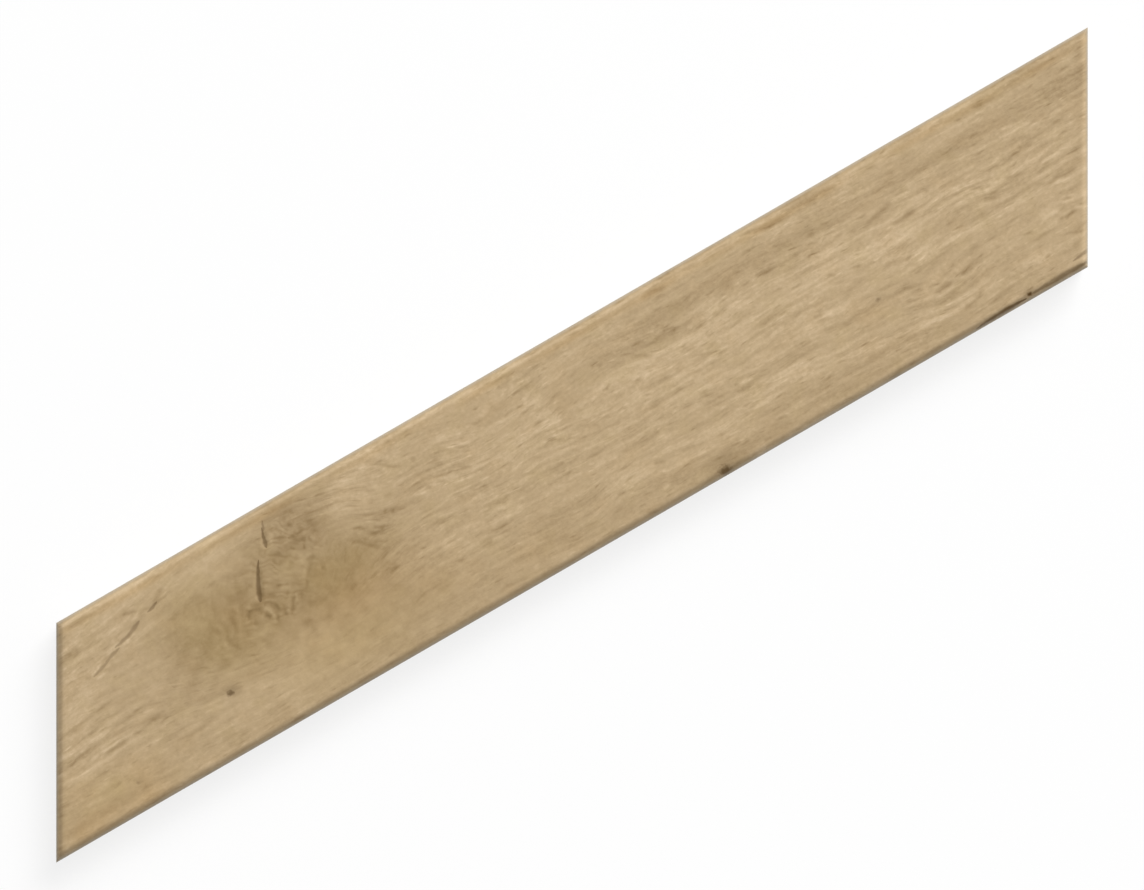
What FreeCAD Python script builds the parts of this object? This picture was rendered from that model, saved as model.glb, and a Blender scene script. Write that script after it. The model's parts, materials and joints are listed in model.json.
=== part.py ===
"""One chevron wall tile in wood-look glazed porcelain.

The tile is a slim parallelogram, fired as one piece. Its two long edges run with the printed grain and its
two short ends are mitred, so that the ends of left and right hand tiles meet along the spine of the chevron.
It lies on its back with the glazed face up: X runs across the chevron, Y along the spine and Z out of the
face. The origin is the centre of the bed face on the back.
"""

import FreeCAD, Part
import math
import os

import Sketcher

# Driving dimensions, in millimetres, degrees and whole counts.
DIMENSIONS = [
    ("edge_length", 218.0, "length of each long edge"),
    ("face_width", 38.0, "width of the face, square to the long edges"),
    ("end_angle", 60.0, "angle between a long edge and a mitred end, in degrees"),
    ("thickness", 9.0, "from the bed face on the back to the glazed face"),
    ("arris_radius", 1.5, "round of the arris between the glazed face and the sides"),
    ("groove_count", 4, "keying grooves along the back"),
    ("groove_depth", 0.7, "depth of a keying groove"),
    ("groove_mouth", 4.0, "width of a keying groove at the bed face"),
    ("groove_floor", 3.0, "width of a keying groove at its floor"),
    ("edge_land", 5.0, "plain strip of bed face beside each long edge"),
]

EXACT = 1e-6

doc = FreeCAD.newDocument("chevron_wall_tile")


def make_sheet():
    """The spreadsheet of driving dimensions: a note, a plain number and its alias in each row."""
    sheet = doc.addObject("Spreadsheet::Sheet", "sizes")
    for row, (alias, value, note) in enumerate(DIMENSIONS, start=1):
        sheet.set(f"A{row}", note)
        sheet.set(f"B{row}", str(value))
        sheet.setAlias(f"B{row}", alias)
    doc.recompute()
    return sheet


def add_sketch(body, name, plane_role):
    """A sketch of this body, flat on one of its own origin planes."""
    sketch = body.newObject("Sketcher::SketchObject", name)
    plane = next(f for f in body.Origin.OriginFeatures if f.Role == plane_role)
    sketch.AttachmentSupport = [(plane, "")]
    sketch.MapMode = "FlatFace"
    return sketch


def add_loop(sketch, corners):
    """A closed loop of straight lines through the corners, joined end to start."""
    points = [FreeCAD.Vector(x, y, 0) for x, y in corners]
    for start, end in zip(points, points[1:] + points[:1]):
        sketch.addGeometry(Part.LineSegment(start, end))
    for line in range(len(points)):
        sketch.addConstraint(Sketcher.Constraint("Coincident", line, 2, (line + 1) % len(points), 1))


def drive(sketch, constraint, name, expression):
    """Adds a dimension to the sketch, names it and ties it to the sheet."""
    index = sketch.addConstraint(constraint)
    sketch.renameConstraint(index, name)
    sketch.setExpression(f"Constraints.{name}", expression)


def add_outline(body, sheet):
    """The parallelogram seen from the face: level long edges, mitred ends, centred on the origin."""
    sketch = add_sketch(body, "outline", "XY_Plane")
    angle = math.radians(sheet.end_angle)
    half_edge = sheet.edge_length / 2
    half_width = sheet.face_width / 2
    lean = half_width / math.tan(angle)
    add_loop(sketch, [
        (-half_edge - lean, -half_width),
        (half_edge - lean, -half_width),
        (half_edge + lean, half_width),
        (-half_edge + lean, half_width),
    ])
    lower_edge, right_end, upper_edge, left_end = range(4)
    origin = (-1, 1)
    sketch.addConstraint(Sketcher.Constraint("Horizontal", lower_edge))
    sketch.addConstraint(Sketcher.Constraint("Symmetric", lower_edge, 1, upper_edge, 1, *origin))
    sketch.addConstraint(Sketcher.Constraint("Symmetric", right_end, 1, left_end, 1, *origin))
    drive(sketch, Sketcher.Constraint("Distance", lower_edge, sheet.edge_length), "edge_length",
          "sizes.edge_length")
    drive(sketch, Sketcher.Constraint("Distance", upper_edge, 1, lower_edge, sheet.face_width), "face_width",
          "sizes.face_width")
    drive(sketch, Sketcher.Constraint("Angle", lower_edge, 1, left_end, 2, angle), "end_angle",
          "sizes.end_angle * 1 deg")
    return sketch


def add_slab(body, outline):
    """The pressed slab: the outline raised from the bed face to the glazed face."""
    slab = body.newObject("PartDesign::Pad", "slab")
    slab.Profile = outline
    slab.setExpression("Length", "sizes.thickness")
    doc.recompute()
    return slab


def add_arris(body, sheet, slab):
    """The soft round all along the arris of the glazed face."""
    rim = [
        f"Edge{number}"
        for number, edge in enumerate(slab.Shape.Edges, start=1)
        if all(abs(vertex.Z - sheet.thickness) < EXACT for vertex in edge.Vertexes)
    ]
    arris = body.newObject("PartDesign::Fillet", "arris")
    arris.Base = (slab, rim)
    arris.setExpression("Radius", "sizes.arris_radius")
    doc.recompute()
    return arris


def add_groove_profile(body, sheet):
    """The section of the first keying groove: wide at the bed face, narrower at its floor."""
    sketch = add_sketch(body, "groove_profile", "YZ_Plane")
    centre = -(sheet.face_width / 2 - sheet.edge_land - sheet.groove_mouth / 2)
    half_mouth = sheet.groove_mouth / 2
    half_floor = sheet.groove_floor / 2
    add_loop(sketch, [
        (centre - half_mouth, 0),
        (centre + half_mouth, 0),
        (centre + half_floor, sheet.groove_depth),
        (centre - half_floor, sheet.groove_depth),
    ])
    mouth, inner_flank, floor, outer_flank = range(4)
    spine_axis = -2
    level_axis = -1
    sketch.addConstraint(Sketcher.Constraint("PointOnObject", mouth, 1, level_axis))
    sketch.addConstraint(Sketcher.Constraint("Horizontal", mouth))
    sketch.addConstraint(Sketcher.Constraint("Horizontal", floor))
    sketch.addConstraint(Sketcher.Constraint("Equal", inner_flank, outer_flank))
    drive(sketch, Sketcher.Constraint("Distance", mouth, sheet.groove_mouth), "groove_mouth",
          "sizes.groove_mouth")
    drive(sketch, Sketcher.Constraint("Distance", floor, sheet.groove_floor), "groove_floor",
          "sizes.groove_floor")
    drive(sketch, Sketcher.Constraint("Distance", floor, 1, mouth, sheet.groove_depth), "groove_depth",
          "sizes.groove_depth")
    drive(sketch, Sketcher.Constraint("Distance", mouth, 1, spine_axis, sheet.face_width / 2 - sheet.edge_land),
          "edge_land", "sizes.face_width / 2 - sizes.edge_land")
    return sketch


def add_grooves(body, profile):
    """Keying grooves cut the whole length of the back, evenly spaced between the two plain lands."""
    groove = body.newObject("PartDesign::Pocket", "keying_groove")
    groove.Profile = profile
    groove.Type = "ThroughAll"
    groove.Midplane = True
    doc.recompute()

    grooves = body.newObject("PartDesign::LinearPattern", "keying_grooves")
    grooves.Originals = [groove]
    grooves.Direction = (profile, ["H_Axis"])
    grooves.setExpression("Length", "sizes.face_width - 2 * sizes.edge_land - sizes.groove_mouth")
    grooves.setExpression("Occurrences", "sizes.groove_count")
    body.Tip = grooves
    doc.recompute()
    return grooves


def make_tile(sheet):
    """The fired tile, modelled with its long edges level and then turned so that its ends follow the spine."""
    body = doc.addObject("PartDesign::Body", "ChevronTile")
    body.Label = "chevron_tile"
    slab = add_slab(body, add_outline(body, sheet))
    add_arris(body, sheet, slab)
    plain_volume = body.Shape.Volume
    add_grooves(body, add_groove_profile(body, sheet))
    if body.Shape.Volume >= plain_volume - EXACT:
        raise RuntimeError("the keying grooves cut nothing")
    body.Placement = FreeCAD.Placement(FreeCAD.Vector(0, 0, 0), FreeCAD.Rotation(FreeCAD.Vector(0, 0, 1), 0))
    body.setExpression("Placement.Rotation.Angle", "(90 - sizes.end_angle) * 1 deg")
    return body


def check(parts):
    """Stops unless every object recomputed and every part is one valid solid."""
    for item in doc.Objects:
        if {"Invalid", "Error"} & set(item.State):
            raise RuntimeError(f"{item.Label} failed: {item.State}")
    for part in parts:
        if part.Shape.isNull() or not part.Shape.isValid() or len(part.Shape.Solids) != 1:
            raise RuntimeError(f"{part.Label} isn't one valid solid")


def export(parts):
    """Writes each part's solid to parts/ under its own label."""
    os.makedirs("parts", exist_ok=True)
    for part in parts:
        part.Shape.exportStep(f"parts/{part.Label}.step")
        box = part.Shape.optimalBoundingBox(False, False)
        print(part.Label, f"{box.XLength:.2f} x {box.YLength:.2f} x {box.ZLength:.2f} mm",
              f"z from {box.ZMin:.3f}", f"{part.Shape.Volume / 1000:.2f} cm3")


tile = make_tile(make_sheet())
doc.recompute()
check([tile])
export([tile])
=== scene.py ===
# Looks of one chevron wall tile: a slim porcelain slab with a printed oak face, lying on its back.
import json
import math
import bpy
import numpy as np
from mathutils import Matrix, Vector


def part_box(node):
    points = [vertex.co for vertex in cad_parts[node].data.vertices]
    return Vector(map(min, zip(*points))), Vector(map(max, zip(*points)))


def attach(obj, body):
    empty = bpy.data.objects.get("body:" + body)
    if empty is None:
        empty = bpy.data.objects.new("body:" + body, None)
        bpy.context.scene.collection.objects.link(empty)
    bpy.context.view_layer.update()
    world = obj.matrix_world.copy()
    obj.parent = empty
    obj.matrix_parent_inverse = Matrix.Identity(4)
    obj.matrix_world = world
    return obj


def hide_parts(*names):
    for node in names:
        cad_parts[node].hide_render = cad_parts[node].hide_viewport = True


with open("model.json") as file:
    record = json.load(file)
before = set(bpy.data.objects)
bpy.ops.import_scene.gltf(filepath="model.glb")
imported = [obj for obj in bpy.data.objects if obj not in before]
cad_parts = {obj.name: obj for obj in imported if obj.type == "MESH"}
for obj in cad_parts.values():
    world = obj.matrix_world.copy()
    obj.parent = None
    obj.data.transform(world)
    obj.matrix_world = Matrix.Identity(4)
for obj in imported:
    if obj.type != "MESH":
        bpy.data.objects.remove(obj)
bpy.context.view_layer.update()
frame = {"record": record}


# The pressed slab
# One slab of porcelain, pressed from powder in a steel die and fired. Its long edges run with the grain, its
# ends are mitred, and the die rounds the arris of the face and leaves keying grooves along the back.
# Lengths are millimetres in the slab's level frame: x runs with the grain, y crosses it, z leaves the face.
MM = 0.001
mounts = {mount["name"]: mount for mount in frame["record"]["mounts"]}
edge_place = np.array(mounts["upper_edge"]["pos_m"][:2]) / MM
edge_normal = np.array(mounts["upper_edge"]["axis"][:2])
half_width = float(edge_place @ edge_normal)
grain_turn = math.atan2(edge_normal[1], edge_normal[0]) - math.pi / 2
half_edge = mounts["spine_end"]["pos_m"][0] / MM / math.cos(grain_turn)
end_lean = math.tan(grain_turn)
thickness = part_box("chevron_tile")[1].z / MM

ARRIS_RADIUS = 1.5
ARRIS_STEPS = 9
GROOVE_COUNT = 4
GROOVE_DEPTH = 0.7
GROOVE_MOUTH = 4.0
GROOVE_FLOOR = 3.0
EDGE_LAND = 5.0
WALL_STEPS = np.array([0.75, 0.5, 0.25, 0.0])

KNOT_X = -58.0
KNOT_Y = 6.5
# Spacing of the mesh lines across the grain, along it, and along it within a band about the knot.
GAP_ACROSS = 0.215
GAP_ALONG = 0.56
GAP_AT_KNOT = 0.22
KNOT_BAND = 9.0
GRADING_SAMPLES = 4001


def graded(first, last, gap):
    """Lines from first to last, spaced by gap(place): the running sum of 1 / gap, cut in equal steps."""
    place = np.linspace(first, last, GRADING_SAMPLES)
    rate = 1 / gap(place)
    run = np.concatenate([[0], np.cumsum((rate[1:] + rate[:-1]) / 2 * np.diff(place))])
    return np.interp(np.linspace(0, run[-1], int(run[-1]) + 2), run, place)


def gap_along(place):
    """Spacing of the lines across the slab: a plain gap that narrows as a bell curve about the knot."""
    bell = np.exp(-(((place - KNOT_X) / KNOT_BAND) ** 2))
    return GAP_ALONG + (GAP_AT_KNOT - GAP_ALONG) * bell


def gap_across(place):
    """Spacing of the lines along the slab: even."""
    return np.full_like(place, GAP_ACROSS)


def with_arris(half, stretch, inner):
    """Adds the lines of both rounded edges, set at equal angles of the round, to the lines between them."""
    inset = ARRIS_RADIUS * (1 - np.cos(np.linspace(0, math.pi / 2, ARRIS_STEPS + 1)[:-1])) * stretch
    return np.concatenate([-half + inset, inner, half - inset[::-1]])


end_stretch = 1 / math.cos(grain_turn)
along_reach = half_edge - ARRIS_RADIUS * end_stretch
across_reach = half_width - ARRIS_RADIUS
along = with_arris(half_edge, end_stretch, graded(-along_reach, along_reach, gap_along))
across = with_arris(half_width, 1.0, graded(-across_reach, across_reach, gap_across))[::-1]

face_y = np.broadcast_to(across, (len(along), len(across)))
face_x = along[:, None] + face_y * end_lean
lower_inset = half_width + face_y
upper_inset = half_width - face_y
outer_inset = np.broadcast_to((half_edge + along[:, None]) / end_stretch, face_y.shape)
spine_inset = np.broadcast_to((half_edge - along[:, None]) / end_stretch, face_y.shape)
edge_inset = np.minimum(np.minimum(lower_inset, upper_inset), np.minimum(outer_inset, spine_inset))


# The oak figure
# The face is printed and embossed as one oak board: straight grain that parts round a knot, the knot's curls
# and rings, drying splits, pin knots and open pores. These fields drive both the relief and the print. The
# print also carries painted highlights and painted shade along the edges and on the lips of one split.
KNOT_TURN = math.radians(60)
KNOT_LONG = 9.7
KNOT_SHORT = 7.0
# The knot's curls have a plain level between their dark lines. Its rings are a share of its outline apart.
CURL_PITCH = 1.25
CURL_SHARPNESS = 1.0
CURL_REST = 0.47
RING_PITCH = 0.21
EYE_X = -63.9
EYE_Y = 0.9
EYE_PITCH = 2.6
# Where the eye's waves show: middle x and y, and reach along and across.
EYE_SHOWN = (EYE_X + 1.5, EYE_Y + 0.3, 2.6, 2.1)
# The grain parts round a place below the knot's middle. The parting takes this share of a line's height, and
# its reach along the grain falls from left to right by twice the skew, within a few times the ease.
PARTING_DROP = 1.5
PARTING_SHARE = 0.97
PARTING_HEIGHT = 11.5
PARTING_REACH = 18.0
PARTING_SKEW = 5.0
PARTING_EASE = 8.0
# Large odd factors that mix whole numbers into random ones.
COLUMN_MIX = 73856093
ROW_MIX = 19349663
SEED_MIX = 83492791
FOLD_MIX = 1274126177


def hashed(column, row, seed):
    """A number from 0 to 1 for each whole column and row: large odd factors mix both, and bits are folded."""
    mixed = (column * COLUMN_MIX) ^ (row * ROW_MIX) ^ (seed * SEED_MIX)
    mixed = ((mixed ^ (mixed >> 13)) & 0x7FFFFFFF) * FOLD_MIX
    return ((mixed ^ (mixed >> 16)) & 0xFFFF) / 0xFFFF


def ripple(x, y, length, width, seed):
    """Smooth noise from -1 to 1: random heights at the corners of cells, eased from corner to corner."""
    column = np.floor(x / length).astype(np.int64)
    row = np.floor(y / width).astype(np.int64)
    right = x / length - column
    up = y / width - row
    right = right**3 * (right * (right * 6 - 15) + 10)
    up = up**3 * (up * (up * 6 - 15) + 10)
    low = hashed(column, row, seed) * (1 - right) + hashed(column + 1, row, seed) * right
    high = hashed(column, row + 1, seed) * (1 - right) + hashed(column + 1, row + 1, seed) * right
    return 2 * (low * (1 - up) + high * up) - 1


def oval(x, y, middle_x, middle_y, reach_x, reach_y):
    """A soft oval patch: a bell curve that is 1 in the middle and fades over its two reaches."""
    return np.exp(-(((x - middle_x) / reach_x) ** 2) - ((y - middle_y) / reach_y) ** 2)


def eased(value, low, high):
    """Rises smoothly from 0 at low to 1 at high."""
    share = np.clip((value - low) / (high - low), 0, 1)
    return share * share * (3 - 2 * share)


# Swerves of the grain: middle x and y, reach along and across, and lift, all in millimetres.
SWERVES = [
    (-101, -3, 9, 6, 0.7),
    (22, -14, 16, 5, 0.8),
    (78, -12, 11, 6, -1.1),
    (102, -5, 12, 6, 0.9),
]
# Slants of the grain: middle x and y, reach along and across in millimetres, and slope.
SLANTS = [
    (-98, -3, 12, 7, 0.10),
    (-38, 9, 9, 6, -0.50),
    (-22, 9, 14, 6, -0.34),
    (2, 1, 10, 5, -0.24),
    (18, 8, 10, 4, -0.28),
    (0, -12, 10, 4, 0.24),
    (60, 2, 9, 4, -0.18),
    (76, -9, 8, 6, 0.16),
    (88, 3, 7, 3, -0.22),
]


def grain_lines(x, y):
    """Distance along and across the grain. Lines of one height part round the knot: the height above its
    middle is shrunk by a bell curve, so lines near it are pushed outwards. Swerves, slants and ripples bend
    the rest."""
    reach = PARTING_REACH - PARTING_SKEW * np.tanh((x - KNOT_X) / PARTING_EASE)
    rise = y - KNOT_Y + PARTING_DROP
    height = rise * (1 - PARTING_SHARE * oval(x, rise, KNOT_X, 0, reach, PARTING_HEIGHT))
    height = height + 0.9 * ripple(x, y, 36, 13, 3) + 0.35 * ripple(x, y, 11, 4.5, 4)
    for middle_x, middle_y, reach_x, reach_y, lift in SWERVES:
        height = height - lift * oval(x, y, middle_x, middle_y, reach_x, reach_y)
    for middle_x, middle_y, reach_x, reach_y, slope in SLANTS:
        height = height - slope * (x - middle_x) * oval(x, y, middle_x, middle_y, reach_x, reach_y)
    return x + 0.6 * ripple(x, y, 9, 2, 5), height


def knot_axes(x, y):
    """Distance from the knot's middle along its long axis, across the grain, and along its short one."""
    off_x = x - KNOT_X
    off_y = y - KNOT_Y
    long_way = off_x * math.cos(KNOT_TURN) + off_y * math.sin(KNOT_TURN)
    short_way = off_y * math.cos(KNOT_TURN) - off_x * math.sin(KNOT_TURN)
    return long_way, short_way


def knot_share(x, y):
    """Distance from the knot's middle as a share of its oval outline, made uneven by two sizes of ripple."""
    long_way, short_way = knot_axes(x, y)
    plain = np.hypot(long_way / KNOT_LONG, short_way / KNOT_SHORT)
    return plain + 0.12 * ripple(x, y, 4.2, 4.2, 6) + 0.11 * ripple(x, y, 2.1, 2.1, 7)


def knot_curls(x, y):
    """Curly figure of the knot's wood, about 0: thin dark lines across the knot's long axis, each the
    exponential of a wave, which ripples of two sizes push out of line until they nest and close, and two
    more break up."""
    long_way, _ = knot_axes(x, y)
    push = 0.9 * ripple(x, y, 2.6, 2.6, 50) + 0.45 * ripple(x, y, 1.2, 1.2, 51)
    wave = np.cos(2 * math.pi * (long_way / CURL_PITCH + push))
    lines = CURL_REST - np.exp(CURL_SHARPNESS * (wave - 1))
    return lines * (0.6 + 0.35 * ripple(x, y, 2.0, 2.0, 52) + 0.35 * ripple(x, y, 1.0, 1.0, 53))


def knot_eye(x, y):
    """A small eye under the knot's main split: waves of the distance from its middle, bent by a ripple,
    which show most on its right."""
    away = np.hypot(x - EYE_X, y - EYE_Y) + 0.5 * ripple(x, y, 1.7, 1.7, 17)
    return np.cos(2 * math.pi * away / EYE_PITCH) * oval(x, y, *EYE_SHOWN)


def knot_rings(x, y):
    """Growth rings round the knot, from -1 to 1: waves of the distance from its middle as a share of its
    oval outline, bent by a ripple and made strong and weak by another."""
    long_way, short_way = knot_axes(x, y)
    away = np.hypot(long_way / KNOT_LONG, short_way / KNOT_SHORT) + 0.07 * ripple(x, y, 2.6, 2.6, 54)
    return np.cos(2 * math.pi * away / RING_PITCH) * (0.6 + 0.4 * ripple(x, y, 3.0, 3.0, 55))


# A pore's half length and half width as shares of its cell: the least, and the spread of a random part.
PORE_LENGTH_LEAST = 0.2
PORE_LENGTH_SPREAD = 0.5
PORE_WIDTH_LEAST = 0.15
PORE_WIDTH_SPREAD = 0.2


def dashes(x, y, length, width, share, seed):
    """Open pores: a share of the cells holds one lens-shaped dash each, of random place and size. The value
    is 1 on the dash's middle and falls to 0 at its rim. Neighbouring cells are tried too, because a dash may
    reach over."""
    column = np.floor(x / length).astype(np.int64)
    row = np.floor(y / width).astype(np.int64)
    best = np.zeros_like(x)
    for side in (-1, 0, 1):
        for level in (-1, 0, 1):
            cell = (column + side, row + level)
            middle_x = (cell[0] + hashed(*cell, seed)) * length
            middle_y = (cell[1] + hashed(*cell, seed + 1)) * width
            half_length = length * (PORE_LENGTH_LEAST + PORE_LENGTH_SPREAD * hashed(*cell, seed + 2))
            half_thick = width * (PORE_WIDTH_LEAST + PORE_WIDTH_SPREAD * hashed(*cell, seed + 3))
            off = ((x - middle_x) / half_length) ** 2 + ((y - middle_y) / half_thick) ** 2
            there = hashed(*cell, seed + 4) < share
            best = np.maximum(best, np.where(there, np.clip(1 - off, 0, 1), 0))
    return best


def share_and_side(x, y, start_x, start_y, end_x, end_y):
    """Share of the way from start to end, and distance to the left of that line."""
    run_x = end_x - start_x
    run_y = end_y - start_y
    length = math.hypot(run_x, run_y)
    share = ((x - start_x) * run_x + (y - start_y) * run_y) / length**2
    side = ((y - start_y) * run_x - (x - start_x) * run_y) / length
    return share, side
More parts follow.
